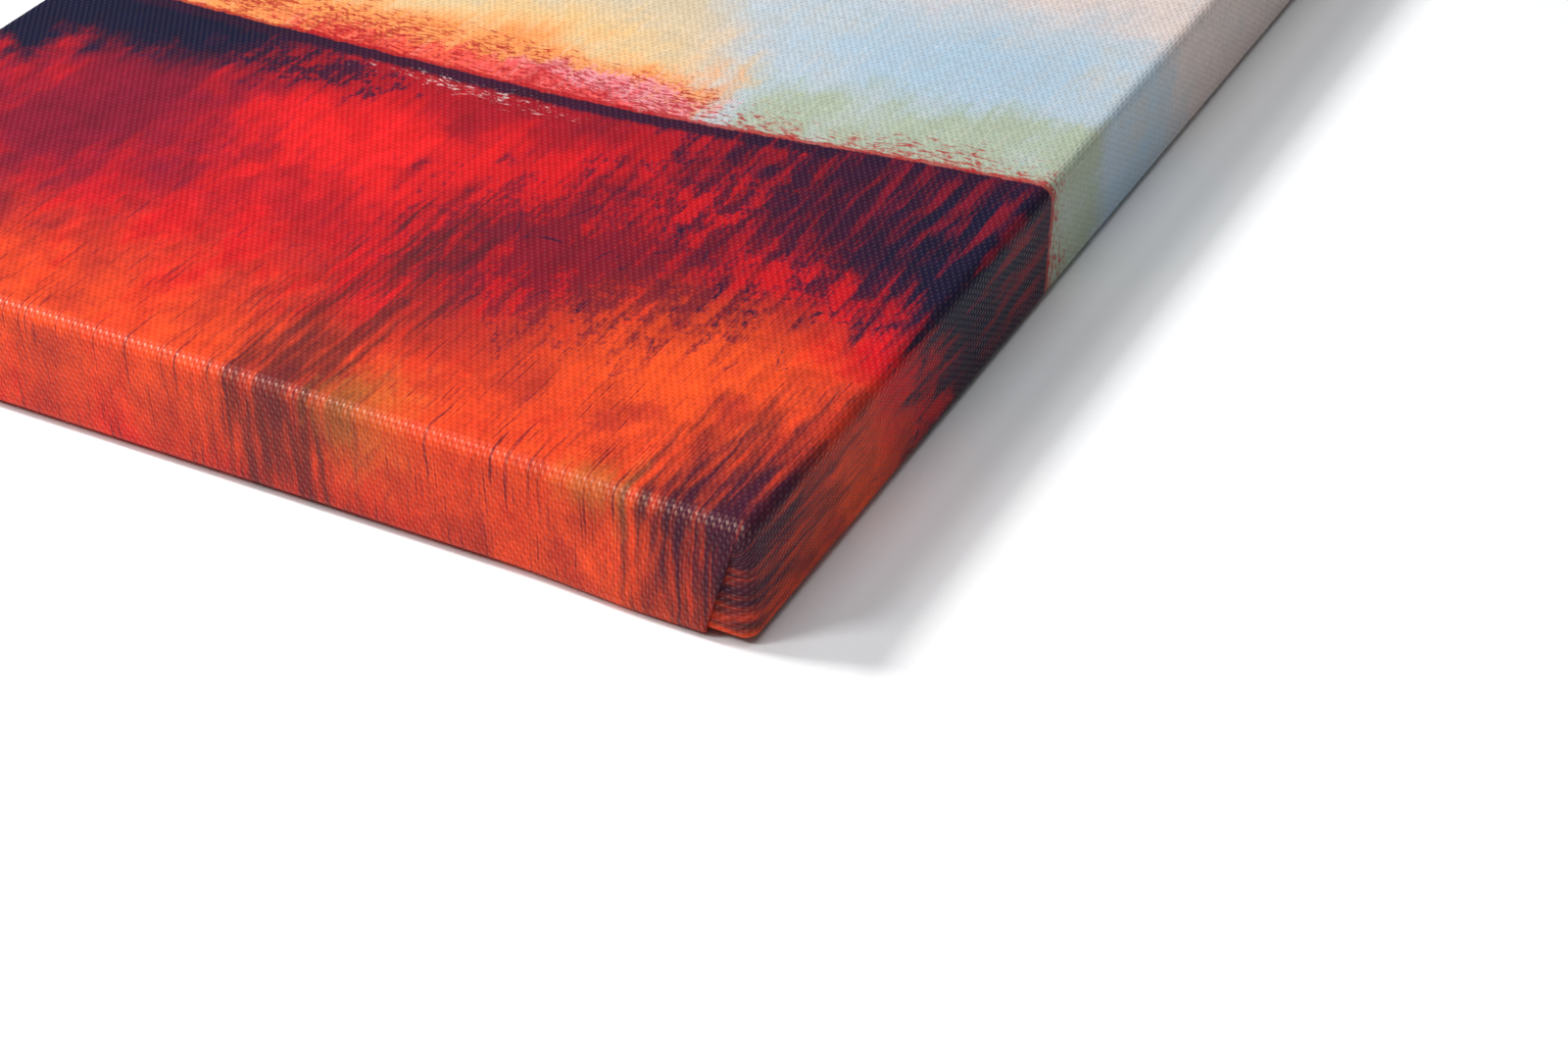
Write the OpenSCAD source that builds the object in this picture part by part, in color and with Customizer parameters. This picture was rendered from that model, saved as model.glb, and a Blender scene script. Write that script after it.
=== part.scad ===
// Stretched canvas: a printed cotton sheet wrapped over a keyed wooden stretcher frame.
// It lies on its back, face up. X runs across the picture, Y up the picture, Z out of the face.
// The origin is the middle of the back, level with the folded cloth corners that it rests on.

/* [Frame] */
// Width of the wooden frame across X
frame_w = 200; // [160:10:400]
// Height of the wooden frame along Y
frame_h = 300; // [200:10:500]
// Width of a stretcher bar, outer edge to inner edge
bar_w = 38; // [34:1:46]
// Thickness of a stretcher bar at its outer bead
bar_t = 20; // [18:0.5:24]
// How far the front of a bar falls away from the cloth at its inner edge
bevel_drop = 3; // [1:0.5:4]
// Width of the flat bead that carries the cloth
bead_w = 5; // [3:1:8]
// Radius on the bead's outer front edge
bead_r = 2; // [1.5:0.25:3]
// Radius on the frame's four upright corners
corner_r = 1.5; // [1:0.25:2.5]

/* [Corner joints and keys] */
// Thickness of each tongue and of the slot it fills
tongue_t = 4; // [3:0.5:5]
// Thickness of the back cheek behind the tongues
cheek_t = 5; // [4:0.5:6]
// Length of a corner key
key_len = 34; // [28:1:38]
// Width of a key at its head
key_head_w = 16; // [12:1:18]
// Width of a key at its tip
key_tip_w = 5; // [3:1:7]
// How deep a key sits in its slot
key_depth = 16; // [10:1:20]
// Gap all round a key and a tongue
fit_gap = 0.1; // [0.05:0.05:0.2]

/* [Cloth] */
// Thickness of the coated cotton
cloth_t = 0.5; // [0.4:0.1:0.7]
// Width of the cloth turned over onto the back
flap_w = 25; // [20:1:30]
// Layers of cloth folded on top of each other at a corner
fold_layers = 3; // [2:1:3]
// How far the corner fold leans in across the depth of the side
fold_lean = 8; // [4:1:12]
// Length along the side over which the folded layers die away
fold_len = 26; // [20:1:35]

/* [Staples and hanger] */
// Width of a staple's crown
staple_w = 10; // [8:1:12]
// Length of a staple's legs
staple_leg = 6; // [5:0.5:6]
// Staples along each short side, between the two that pin its corner folds
staples_short = 4; // [3:1:6]
// Staples along each long side
staples_long = 7; // [5:1:9]
// Length of the sawtooth hanger
hanger_len = 45; // [35:1:60]
// Height of the hanger's plate
hanger_w = 8.5; // [7:0.5:9]

/* [Hidden] */
$fn = 48;

// Heights, from the resting plane up
back_z = fold_layers * cloth_t;
bead_z = back_z + bar_t;
face_z = bead_z + cloth_t;
rear_tongue_z = back_z + cheek_t;
front_tongue_z = rear_tongue_z + tongue_t;
front_cheek_z = front_tongue_z + tongue_t;
back_edge_r = 0.8;
eps = 0.01;

// A key tapers from its head to its tip, and its slot has the same slope
key_slope = (key_head_w - key_tip_w) / key_len;
slot_mouth = key_tip_w + key_slope * key_depth + fit_gap;
slot_close = slot_mouth / key_slope;
key_t = tongue_t - 4 * fit_gap;
key_cut = 2.5;

// Sides in order round the frame, each a quarter turn after the last: bottom, right, top, left
function side_len(i) = i % 2 == 0 ? frame_w : frame_h;
function side_off(i) = i % 2 == 0 ? frame_h / 2 : frame_w / 2;

staple_wire = 1.2;
staple_flat = 0.6;
staple_inset = 13;
corner_staple_in = 22;
hanger_t = 0.8;
hanger_rise = 0.6;
hanger_ear = 8;
tooth_pitch = 3;
tooth_h = 2;
nail_r = 0.7;
nail_head_r = 1.6;
nail_head_t = 0.4;
nail_len = 9;

// Puts a part built for the bottom side on side i
module on_side(i) {
    rotate([0, 0, 90 * i]) translate([0, -side_off(i), 0]) children();
}

// Rectangle with all four corners rounded
module round_rect(w, h, r) {
    square([w - 2 * r, h], center = true);
    square([w, h - 2 * r], center = true);
    for (x = [-1, 1], y = [-1, 1])
        translate([x * (w / 2 - r), y * (h / 2 - r)]) circle(r);
}

// Section across the frame, front corners rounded by rf and back corners by rb
module section(w, z0, z1, rf, rb) {
    translate([-w / 2 + rf, z0 + rb]) square([w - 2 * rf, z1 - z0 - rb]);
    translate([-w / 2, z0 + rb]) square([w, z1 - z0 - rb - rf]);
    translate([-w / 2 + rb, z0]) square([w - 2 * rb, rb + eps]);
    for (x = [-1, 1]) {
        translate([x * (w / 2 - rf), z1 - rf]) circle(rf);
        translate([x * (w / 2 - rb), z0 + rb]) circle(rb);
    }
}

// A block of the frame's outer shape, grown by g on every side and in front
module envelope(g, z0) {
    w = frame_w + 2 * g;
    h = frame_h + 2 * g;
    z1 = bead_z + g;
    intersection() {
        translate([0, 0, z0 - 1]) linear_extrude(z1 - z0 + 2) round_rect(w, h, corner_r + g);
        rotate([90, 0, 0]) translate([0, 0, -h]) linear_extrude(2 * h)
            section(w, z0, z1, bead_r + g, back_edge_r + g);
        rotate([90, 0, 90]) translate([0, 0, -w]) linear_extrude(2 * w)
            section(h, z0, z1, bead_r + g, back_edge_r + g);
    }
}

// Section of a stretcher bar: outer edge at 0, front falling away from the bead to the inner edge
module bar_section() {
    polygon([
        [0, back_z], [bar_w, back_z], [bar_w, bead_z - bevel_drop],
        [bead_w + 1, bead_z - 0.2], [bead_w, bead_z], [0, bead_z]
    ]);
}

module bar_blank(len) {
    rotate([90, 0, 90]) translate([0, 0, -len / 2]) linear_extrude(len) bar_section();
}

// Plan of a bar's mitred cheeks
module cheek_plan(len) {
    polygon([
        [-len / 2 + fit_gap, 0], [len / 2 - fit_gap, 0],
        [len / 2 - bar_w - fit_gap, bar_w], [-len / 2 + bar_w + fit_gap, bar_w]
    ]);
}

// Plan of a middle layer: a square tongue at the right end, and a key slot at the left end
module tongue_plan(len) {
    tongue_root = len / 2 - bar_w;
    slot_end = -tongue_root + fit_gap;
    polygon([
        [slot_end, 0], [len / 2, 0], [len / 2, bar_w - fit_gap],
        [tongue_root - fit_gap, bar_w - fit_gap], [tongue_root - fit_gap, bar_w],
        [-tongue_root + slot_mouth, bar_w], [slot_end, bar_w - slot_close]
    ]);
}

// One stretcher bar on the bottom side: a front tongue at its right end, a rear tongue at its left
module stretcher_bar(len) {
    intersection() {
        bar_blank(len);
        union() {
            translate([0, 0, back_z]) linear_extrude(cheek_t) cheek_plan(len);
            translate([0, 0, rear_tongue_z]) linear_extrude(tongue_t)
                mirror([1, 0]) tongue_plan(len);
            translate([0, 0, front_tongue_z]) linear_extrude(tongue_t) tongue_plan(len);
            translate([0, 0, front_cheek_z]) linear_extrude(bar_t) cheek_plan(len);
        }
    }
}

module bar(i) {
    color("burlywood") intersection() {
        on_side(i) stretcher_bar(side_len(i));
        envelope(0, back_z);
    }
}

// A key seen in plan, with its straight edge on x = 0 and its tip at y = 0
module key_plan() {
    polygon([
        [0, 0], [0, key_len - key_cut], [-key_cut, key_len],
        [-key_head_w + key_cut, key_len], [-key_head_w + key_slope * key_cut, key_len - key_cut],
        [-key_tip_w, 0]
    ]);
}

// A key in the slot at the right end (end = 1, rear layer) or left end (end = -1, front layer)
module key(i, end) {
    z = (end > 0 ? rear_tongue_z : front_tongue_z) + (tongue_t - key_t) / 2;
    x = side_len(i) / 2 - bar_w - fit_gap;
    color("peru") on_side(i) mirror([end > 0 ? 0 : 1, 0, 0])
        translate([x, bar_w - key_depth, z]) linear_extrude(key_t) key_plan();
}

// The folded cloth over one end of the bottom or top side: it leans in, and dies away along the side
module side_fold(end) {
    grown = (fold_layers - 1) * cloth_t;
    x0 = frame_w / 2 + cloth_t;
    mirror([end > 0 ? 0 : 1, 0, 0]) translate([0, -cloth_t, 0]) intersection() {
        translate([0, 0, cloth_t]) linear_extrude(face_z - bead_r - 1)
            polygon([[x0 - fold_len, 0], [x0, 0], [x0, -grown]]);
        rotate([90, 0, 0]) translate([0, 0, -1]) linear_extrude(10)
            polygon([
                [x0 - fold_len, 0], [x0 - fold_lean, 0],
                [x0 - 0.5, face_z - bead_r - 1], [x0 - fold_len, face_z - bead_r - 1]
            ]);
    }
}

// The same fold carried on over the back at one end of the bottom or top side: it rests on this
module back_fold(end) {
    mirror([end > 0 ? 0 : 1, 0, 0]) translate([frame_w / 2, 0, 0])
        linear_extrude(back_z - cloth_t + eps)
            polygon([
                [-fold_lean, back_edge_r], [-fold_lean - flap_w, back_edge_r],
                [-fold_lean - flap_w, flap_w], [-2 * fold_lean, flap_w]
            ]);
}

module canvas() {
    opening_w = frame_w - 2 * flap_w;
    opening_h = frame_h - 2 * flap_w;
    color("crimson") {
        difference() {
            envelope(cloth_t, back_z - cloth_t);
            envelope(0, back_z);
            translate([-opening_w / 2, -opening_h / 2, -1]) cube([opening_w, opening_h, back_z + 2]);
        }
        for (side = [0, 2], end = [-1, 1]) on_side(side) {
            side_fold(end);
            back_fold(end);
        }
    }
}

// A wire staple driven up into a bar: crown at height z, legs along X
module staple(z) {
    translate([-staple_w / 2, -staple_wire / 2, z]) cube([staple_w, staple_wire, staple_flat]);
    for (x = [-1, 1])
        translate([x * (staple_w - staple_flat) / 2 - staple_flat / 2, -staple_wire / 2, z])
            cube([staple_flat, staple_wire, staple_leg]);
}

// Staples of one side: evenly spaced between the corner folds, and one through each fold
module staples(i) {
    n = i % 2 == 0 ? staples_short : staples_long;
    run = side_len(i) - 2 * (fold_lean + flap_w + staple_w);
    color("silver") on_side(i) translate([0, staple_inset, 0]) {
        for (k = [0 : n - 1]) translate([run * (k / (n - 1) - 0.5), 0, 0])
            staple(back_z - cloth_t - staple_flat);
        if (i % 2 == 0) for (x = [-1, 1])
            translate([x * (side_len(i) / 2 - corner_staple_in), 0, 0]) staple(0);
    }
}

// Sawtooth hanger: a thin strip with toothed lower edge, raised between two nailed ears
module hanger_plate() {
    mid = hanger_len - 2 * hanger_ear;
    teeth = floor(mid / tooth_pitch);
    y0 = frame_h / 2 - bar_w + 2;
    z_ear = back_z - hanger_t;
    color("gold") difference() {
        union() {
            for (x = [-1, 1]) translate([x * (hanger_len - hanger_ear) / 2, y0 + hanger_w / 2, z_ear])
                linear_extrude(hanger_t) round_rect(hanger_ear, hanger_w, 1.5);
            translate([-mid / 2 - 1, y0, z_ear - hanger_rise]) cube([mid + 2, hanger_w, hanger_t]);
            for (x = [-1, 1]) translate([x * mid / 2 - 1, y0, z_ear - hanger_rise])
                cube([2, hanger_w, hanger_t + hanger_rise]);
        }
        for (k = [0 : teeth - 1])
            translate([(k - (teeth - 1) / 2) * tooth_pitch, y0 - eps, z_ear - 2]) linear_extrude(4)
                polygon([[-tooth_pitch / 2 + 0.3, 0], [tooth_pitch / 2 - 0.3, 0], [0, tooth_h]]);
        for (x = [-1, 1])
            translate([x * (hanger_len - hanger_ear) / 2, y0 + hanger_w / 2, z_ear - 1])
                cylinder(r = nail_r + fit_gap, h = 4);
    }
}

module hanger_nails() {
    y0 = frame_h / 2 - bar_w + 2 + hanger_w / 2;
    color("silver") for (x = [-1, 1])
        translate([x * (hanger_len - hanger_ear) / 2, y0, back_z - hanger_t]) {
            translate([0, 0, -nail_head_t]) cylinder(r = nail_head_r, h = nail_head_t);
            cylinder(r = nail_r, h = nail_len);
        }
}

canvas();
bar(0);  // bar_bottom
bar(1);  // bar_right
bar(2);  // bar_top
bar(3);  // bar_left
key(0, 1);  // key_bottom_bar_right
key(0, -1);  // key_bottom_bar_left
key(1, 1);  // key_right_bar_top
key(1, -1);  // key_right_bar_bottom
key(2, 1);  // key_top_bar_left
key(2, -1);  // key_top_bar_right
key(3, 1);  // key_left_bar_bottom
key(3, -1);  // key_left_bar_top
staples(0);  // staples_bottom
staples(1);  // staples_right
staples(2);  // staples_top
staples(3);  // staples_left
hanger_plate();
hanger_nails();
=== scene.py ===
"""Looks of the stretched canvas: the wrapped sheet with its printed picture, the wood, the keys,
the staples and the hanger."""

import math
import random

import bmesh
import bpy
import numpy as np
from mathutils import Matrix, Vector


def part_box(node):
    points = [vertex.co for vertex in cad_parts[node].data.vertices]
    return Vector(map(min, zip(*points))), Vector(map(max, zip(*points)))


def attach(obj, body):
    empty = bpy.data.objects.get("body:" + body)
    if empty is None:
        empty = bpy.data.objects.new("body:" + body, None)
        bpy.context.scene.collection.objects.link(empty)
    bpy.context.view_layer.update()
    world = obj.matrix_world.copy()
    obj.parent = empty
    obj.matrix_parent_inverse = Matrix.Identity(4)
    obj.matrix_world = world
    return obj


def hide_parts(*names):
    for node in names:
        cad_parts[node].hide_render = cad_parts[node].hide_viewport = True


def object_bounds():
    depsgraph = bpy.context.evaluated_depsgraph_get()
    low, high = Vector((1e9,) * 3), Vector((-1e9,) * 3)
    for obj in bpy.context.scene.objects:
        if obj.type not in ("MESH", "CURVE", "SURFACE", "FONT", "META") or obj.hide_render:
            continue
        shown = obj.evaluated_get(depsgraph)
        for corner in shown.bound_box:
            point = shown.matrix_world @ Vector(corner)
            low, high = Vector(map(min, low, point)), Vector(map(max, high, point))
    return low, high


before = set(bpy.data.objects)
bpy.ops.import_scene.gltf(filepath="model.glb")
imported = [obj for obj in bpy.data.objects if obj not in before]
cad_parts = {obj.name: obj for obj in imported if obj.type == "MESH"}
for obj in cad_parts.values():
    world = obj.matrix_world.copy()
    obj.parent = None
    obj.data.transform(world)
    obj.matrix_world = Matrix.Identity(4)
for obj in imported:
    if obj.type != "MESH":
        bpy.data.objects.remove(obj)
cad_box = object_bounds()

# Every length below is in millimetres. MM turns it into Blender's metres.
MM = 0.001

# The frame, read from the CAD model
bar_lo, bar_hi = (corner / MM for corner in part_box("bar_bottom"))
PICTURE_W = bar_hi.x - bar_lo.x
PICTURE_H = (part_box("bar_right")[1].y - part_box("bar_right")[0].y) / MM
BACK_Z = bar_lo.z
FACE_Z = cad_box[1].z / MM
CLOTH = FACE_Z - bar_hi.z

# The bars' rounding at the face and at the back, and the flaps' width, as in the CAD model
BAR_EDGE_R = 2.0
BAR_BACK_R = 0.8
FLAP = 25.0

# The cloth's flat face, as half sizes, and the bends it takes over the bars
EDGE_R = BAR_EDGE_R + CLOTH
BACK_R = BAR_BACK_R + CLOTH
FLAT_W = PICTURE_W / 2 + CLOTH - EDGE_R
FLAT_H = PICTURE_H / 2 + CLOTH - EDGE_R
FLAP_Z = BACK_Z - CLOTH

# Lengths along the cloth's path over a side, from the end of the flat face: the rounded edge ends
# at ARC, the wall at TURN and the back edge at UNDER. The flap runs from there to SHEET_END.
ARC = EDGE_R * math.pi / 2
WALL = FACE_Z - EDGE_R - FLAP_Z - BACK_R
TURN = ARC + WALL
UNDER = TURN + BACK_R * math.pi / 2
CORNER_END = UNDER + EDGE_R - BACK_R
SHEET_END = UNDER + FLAP - BACK_R

# The corner folds on the two short sides: how far the fold's edge slants in down the wall, how
# much cloth is tucked behind it, the radius of its roll, and how far it stands off the side
FOLD_SLANT = 5.4
FOLD_SLOPE = FOLD_SLANT / WALL
FOLD_HIDDEN = 6.0
FOLD_R = 0.5
FOLD_LIFT = 1.3

# The visible sheet is a little thinner than the CAD cloth, so it doesn't sink into the wood. Where
# a fold only starts, its roll has no room for the full thickness, and THINNEST is the least share.
SHEET_T = 0.45
THINNEST = 0.02

# How far the cloth strays from its plain path: off the wood between two staples, pressed in by a
# corner staple's wire, in waves over a wall, and bunched at a corner
PUCKER = 0.3
DIMPLE = 0.6
RIPPLE = 0.03
BUNCH = 0.25

# Points closer than this are one point, and lengths closer than TINY are one length
SAME = 0.002
TINY = 1e-6

# Pitch of the threads across and along the picture
WARP_PITCH = 0.632
WEFT_PITCH = 0.98

# How far past the picture's edge the mirrored print runs before the bare primer starts
PRINT_MARGIN = 38.0


def clamp(x, lo=0.0, hi=1.0):
    return min(max(x, lo), hi)


def smooth(x, lo, hi):
    """0 at lo, 1 at hi, and a smooth step between them. lo may be the larger."""
    t = clamp((x - lo) / (hi - lo))
    return t * t * (3 - 2 * t)


def srgb(red, green, blue):
    """A colour given as 0 to 255, in Blender's linear values."""
    def linear(c):
        c = c / 255
        return c / 12.92 if c <= 0.04045 else ((c + 0.055) / 1.055) ** 2.4
    return (linear(red), linear(green), linear(blue), 1.0)


# ---------------------------------------------------------------- node graphs

# The middle of a noise's range, and how far apart two seeds lie in it
NOISE_MIDDLE = 0.5
SEED_STEP = 17.3


class Graph:
    """A material's node tree, written as plain calls. Inputs are numbers, colours or sockets."""

    def __init__(self, name):
        self.material = bpy.data.materials.new(name)
        self.material.use_nodes = True
        self.tree = self.material.node_tree
        self.tree.nodes.clear()

    def put(self, socket, value):
        if isinstance(value, bpy.types.NodeSocket):
            self.tree.links.new(value, socket)
        else:
            socket.default_value = value

    def node(self, kind, inputs=(), **settings):
        made = self.tree.nodes.new(kind)
        for key, value in settings.items():
            setattr(made, key, value)
        for key, value in dict(inputs).items():
            self.put(made.inputs[key], value)
        return made

    def math(self, operation, a, b=0.0, c=0.0):
        return self.node("ShaderNodeMath", {0: a, 1: b, 2: c}, operation=operation).outputs[0]

    def add(self, a, b):
        return self.math("ADD", a, b)

    def sub(self, a, b):
        return self.math("SUBTRACT", a, b)

    def mul(self, *factors):
        result = factors[0]
        for factor in factors[1:]:
            result = self.math("MULTIPLY", result, factor)
        return result

    def smooth(self, x, lo, hi, start=0.0, end=1.0):
        """start below lo, end above hi, and a smooth step between them."""
        inputs = {"Value": x, "From Min": lo, "From Max": hi, "To Min": start, "To Max": end}
        return self.node("ShaderNodeMapRange", inputs, interpolation_type="SMOOTHSTEP").outputs[0]

    def mix(self, factor, a, b):
        made = self.node("ShaderNodeMix", data_type="RGBA")
        self.put(made.inputs["Factor"], factor)
        self.put(made.inputs[6], a)
        self.put(made.inputs[7], b)
        return made.outputs[2]

    def scale(self, colour, factor):
        """The colour made lighter or darker."""
        made = self.node("ShaderNodeVectorMath", {0: colour}, operation="SCALE")
        self.put(made.inputs["Scale"], factor)
        return made.outputs[0]

    def vector(self, x, y, z=0.0):
        return self.node("ShaderNodeCombineXYZ", {0: x, 1: y, 2: z}).outputs[0]

    def noise(self, at, size, seed=0.0, detail=3.0, rough=0.5):
        """Noise from 0 to 1, with features of that size, at a place of two or three sockets."""
        scaled = [self.mul(place, 1 / across) for place, across in zip(at, size)]
        scaled[-1] = self.add(scaled[-1], seed * SEED_STEP)
        inputs = {"Vector": self.vector(*scaled), "Scale": 1.0}
        inputs.update({"Detail": detail, "Roughness": rough})
        return self.node("ShaderNodeTexNoise", inputs).outputs[0]

    def swing(self, noise, reach):
        """The noise as a swing about 0, reach from end to end."""
        return self.mul(self.sub(noise, NOISE_MIDDLE), reach)

    def bump(self, height, depth):
        """Bump of that depth in millimetres, for a height from 0 to 1."""
        inputs = {"Height": height, "Strength": 1.0, "Distance": depth * MM}
        return self.node("ShaderNodeBump", inputs).outputs[0]

    def finish(self, colour, normal, **surface):
        """Closes the graph with a surface shader. Its own numbers are set on its sockets."""
        shader = self.node("ShaderNodeBsdfPrincipled", {"Base Color": colour})
        for key, value in surface.items():
            self.put(shader.inputs[key.replace("_", " ")], value)
        self.put(shader.inputs["Normal"], normal)
        self.node("ShaderNodeOutputMaterial", {"Surface": shader.outputs[0]})
        return self.material


# ---------------------------------------------------------------- the cloth

def weave(g, s, t):
    """Height of a plain weave, from 0 to 1. The ridge slants the threads that lie on top."""
    across = g.mul(s, math.pi / WARP_PITCH)
    along = g.mul(t, math.pi / WEFT_PITCH)
    warp = g.math("SINE", across)
    weft = g.math("SINE", along)
    over = g.mul(warp, weft)
    ridge = g.math("COSINE", g.add(across, along))
    thread = g.math("MAXIMUM", g.math("ABSOLUTE", warp), g.math("ABSOLUTE", weft))
    height = g.add(g.mul(thread, 0.3), g.mul(g.math("ABSOLUTE", over), 0.22))
    return g.add(height, g.add(g.mul(ridge, -0.15), 0.2))


class Picture:
    """The printed picture: an abstract landscape, pale sky over a red field, in streaky paint."""

    CREAM = srgb(210, 192, 162)
    PINK_CREAM = srgb(219, 199, 190)
    SKY_BLUE = srgb(180, 196, 208)
    SKY_DEEP = srgb(150, 184, 208)
    SKY_GREEN = srgb(164, 174, 136)
    GLOW_YELLOW = srgb(238, 190, 122)
    GLOW_ORANGE = srgb(246, 140, 70)
    GLOW_RED = srgb(236, 70, 62)
    PINK = srgb(232, 150, 176)
    FLECK_RED = srgb(170, 16, 26)
    RED = srgb(202, 14, 24)
    BRIGHT = srgb(224, 26, 26)
    ORANGE = srgb(236, 78, 24)
    DEEP = srgb(140, 10, 30)
    CRIMSON = srgb(112, 10, 40)
    WINE = srgb(84, 10, 34)
    NIGHT = srgb(38, 10, 40)
    NAVY = srgb(8, 12, 42)
    UMBER = srgb(60, 26, 32)
    OLIVE = srgb(160, 100, 40)
    PALE = srgb(240, 226, 222)

    # How far the paint's outlines wander, and how far long drawn strokes do
    WANDER = 6
    DRAWN_WANDER = 1.6

    # The horizon's height at the left and the right, and how ragged it is
    HORIZON_LEFT = 98.6
    HORIZON_RIGHT = 108.5
    RAGGED = 2.4

    def __init__(self, g, u, v):
        """Takes the place on the picture, in millimetres from its lower left corner."""
        self.g = g
        sway = g.noise((u, v), (9, 12), seed=0.7, detail=3)
        rise = g.noise((u, v), (12, 9), seed=2.9, detail=3)
        self.u = g.add(u, g.swing(sway, self.WANDER))
        self.v = g.add(v, g.swing(rise, self.WANDER))
        here = (self.u, self.v)
        straight = g.add(u, g.swing(sway, self.DRAWN_WANDER))
        self.make_brushes(here, straight, (u, v))
        self.cracks = self.make_cracks()
        horizon = g.smooth(u, PICTURE_W * 0.5, PICTURE_W * 1.1,
                           self.HORIZON_LEFT, self.HORIZON_RIGHT)
        self.above = g.sub(g.sub(v, horizon), g.swing(self.mottle, self.RAGGED))
        self.below = g.mul(self.above, -1)
        field = g.scale(self.field(), g.smooth(self.mottle, 0.3, 0.7, 0.82, 1.16))
        sky = g.scale(self.sky(), g.smooth(self.mottle, 0.3, 0.7, 0.86, 0.95))
        colour = g.mix(g.smooth(self.above, -0.3, 0.3), field, sky)
        self.colour = g.scale(colour, g.smooth(self.fine, 0.3, 0.7, 0.9, 1.1))

    def make_brushes(self, here, straight, still):
        """The noises that break up the paint. The places are the wandering one, the one for
        strokes drawn straight down, and the plain one."""
        g = self.g
        down = (straight, still[1])
        self.patches = g.noise(here, (15, 24), seed=8.7, detail=9, rough=0.6)
        self.drawn = g.noise(down, (2.4, 26), seed=5.3, detail=9, rough=0.66)
        self.mottle = g.noise(here, (4.5, 7), seed=4.2, detail=8, rough=0.68)
        self.flecks = g.noise(here, (2.6, 0.7), seed=1.9, detail=7, rough=0.72)
        self.hairs = g.noise(down, (0.6, 16), seed=7.7, detail=6, rough=0.6)
        self.fine = g.noise(still, (0.8, 1.3), seed=3.4, detail=3, rough=0.6)
        self.brush = self.blend((self.patches, 0.6), (self.drawn, 0.25), (self.mottle, 0.15))
        self.dabs = self.blend((self.mottle, 0.45), (self.drawn, 0.3), (self.fine, 0.25))

    def blend(self, first, second, third):
        """The sum of three noises, each with its share."""
        g = self.g
        return g.add(g.mul(*first), g.add(g.mul(*second), g.mul(*third)))

    def make_cracks(self):
        """1 along the thin cracks between long cells of paint."""
        g = self.g
        cells = g.node("ShaderNodeTexVoronoi", feature="DISTANCE_TO_EDGE")
        g.put(cells.inputs["Vector"], g.vector(g.mul(self.u, 1 / 5), g.mul(self.v, 1 / 13), 0.5))
        g.put(cells.inputs["Scale"], 1.0)
        return g.smooth(cells.outputs[0], 0.012, 0.04, 1.0, 0.0)

    def near(self, at, size, strength=1.0):
        """strength at a point, falling to 0 at size from it."""
        g = self.g
        du = g.mul(g.sub(self.u, at[0]), 1 / size[0])
        dv = g.mul(g.sub(self.v, at[1]), 1 / size[1])
        far = g.math("SQRT", g.add(g.mul(du, du), g.mul(dv, dv)))
        inside = g.smooth(far, 0, 1, 1.0, 0.0)
        return inside if strength == 1.0 else g.mul(inside, strength)

    def between(self, value, full, none):
        """1 where value is beyond full, falling to 0 at none."""
        if full < none:
            return self.g.smooth(value, full, none, 1.0, 0.0)
        return self.g.smooth(value, none, full)

    def paint(self, ground, strokes):
        """Lays strokes over the ground colour, each (colour, region, brush, amount, soft, drag).

        A stroke is solid where its region is 1 and broken up by its brush's noise where that fades.
        soft is half the width of its edges, and drag how deep the noise bites into them."""
        g = self.g
        for colour, region, brush, amount, soft, drag in strokes:
            cover = g.smooth(g.add(region, g.swing(brush, drag)), 0.5 - soft, 0.5 + soft)
            ground = g.mix(g.mul(cover, g.smooth(region, 0.0, 0.15), amount), ground, colour)
        return ground

    def sky(self):
        """Pale washes, a glow over the left of the horizon, and red flecks along it."""
        g, near, between = self.g, self.near, self.between
        brush, dabs, hairs = self.brush, self.dabs, self.hairs
        glow = between(self.u, 116, 148)
        right = between(self.u, 138, 108)
        low = g.mul(between(self.above, 8, 32), between(self.u, 150, 122))
        yellow = g.mul(between(self.above, 10, 48), glow)
        hot = g.mul(between(self.above, 4, 30), glow, 1.1)
        pink = g.mul(between(self.above, 4, 18), near((112, 104), (40, 26)), 1.1)
        red = g.mul(between(self.above, 0, 14), near((88, 100), (64, 34)), 1.3)
        height = g.sub(self.above, g.mul(glow, 8))
        specks = g.mul(between(height, 0, 20), g.smooth(self.patches, 0.35, 0.65, 0.36, 0.58))
        return self.paint(self.CREAM, (
            (self.SKY_BLUE, right, brush, 0.95, 0.5, 3.0),
            (self.PINK_CREAM, between(self.above, 80, 40), brush, 0.9, 0.5, 3.4),
            (self.SKY_BLUE, near((60, 250), (110, 70), 1.1), brush, 0.85, 0.5, 3.4),
            (self.SKY_DEEP, near((170, 140), (50, 34), 0.8), dabs, 0.5, 0.35, 4.0),
            (self.SKY_GREEN, low, brush, 0.75, 0.5, 5.0),
            (self.GLOW_YELLOW, yellow, brush, 0.8, 0.5, 3.4),
            (self.GLOW_ORANGE, hot, brush, 0.85, 0.4, 3.6),
            (self.PINK, pink, dabs, 0.75, 0.3, 4.0),
            (self.GLOW_RED, red, dabs, 0.85, 0.3, 4.0),
            (self.PALE, 0.25, hairs, 0.18, 0.15, 2.2),
            (self.SKY_DEEP, g.mul(right, 0.2), hairs, 0.4, 0.1, -2.2),
            (self.FLECK_RED, specks, self.flecks, 0.85, 0.1, 2.2),
            (self.FLECK_RED, between(self.above, 0.1, 2.2), dabs, 0.8, 0.2, 3.0)))

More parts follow.
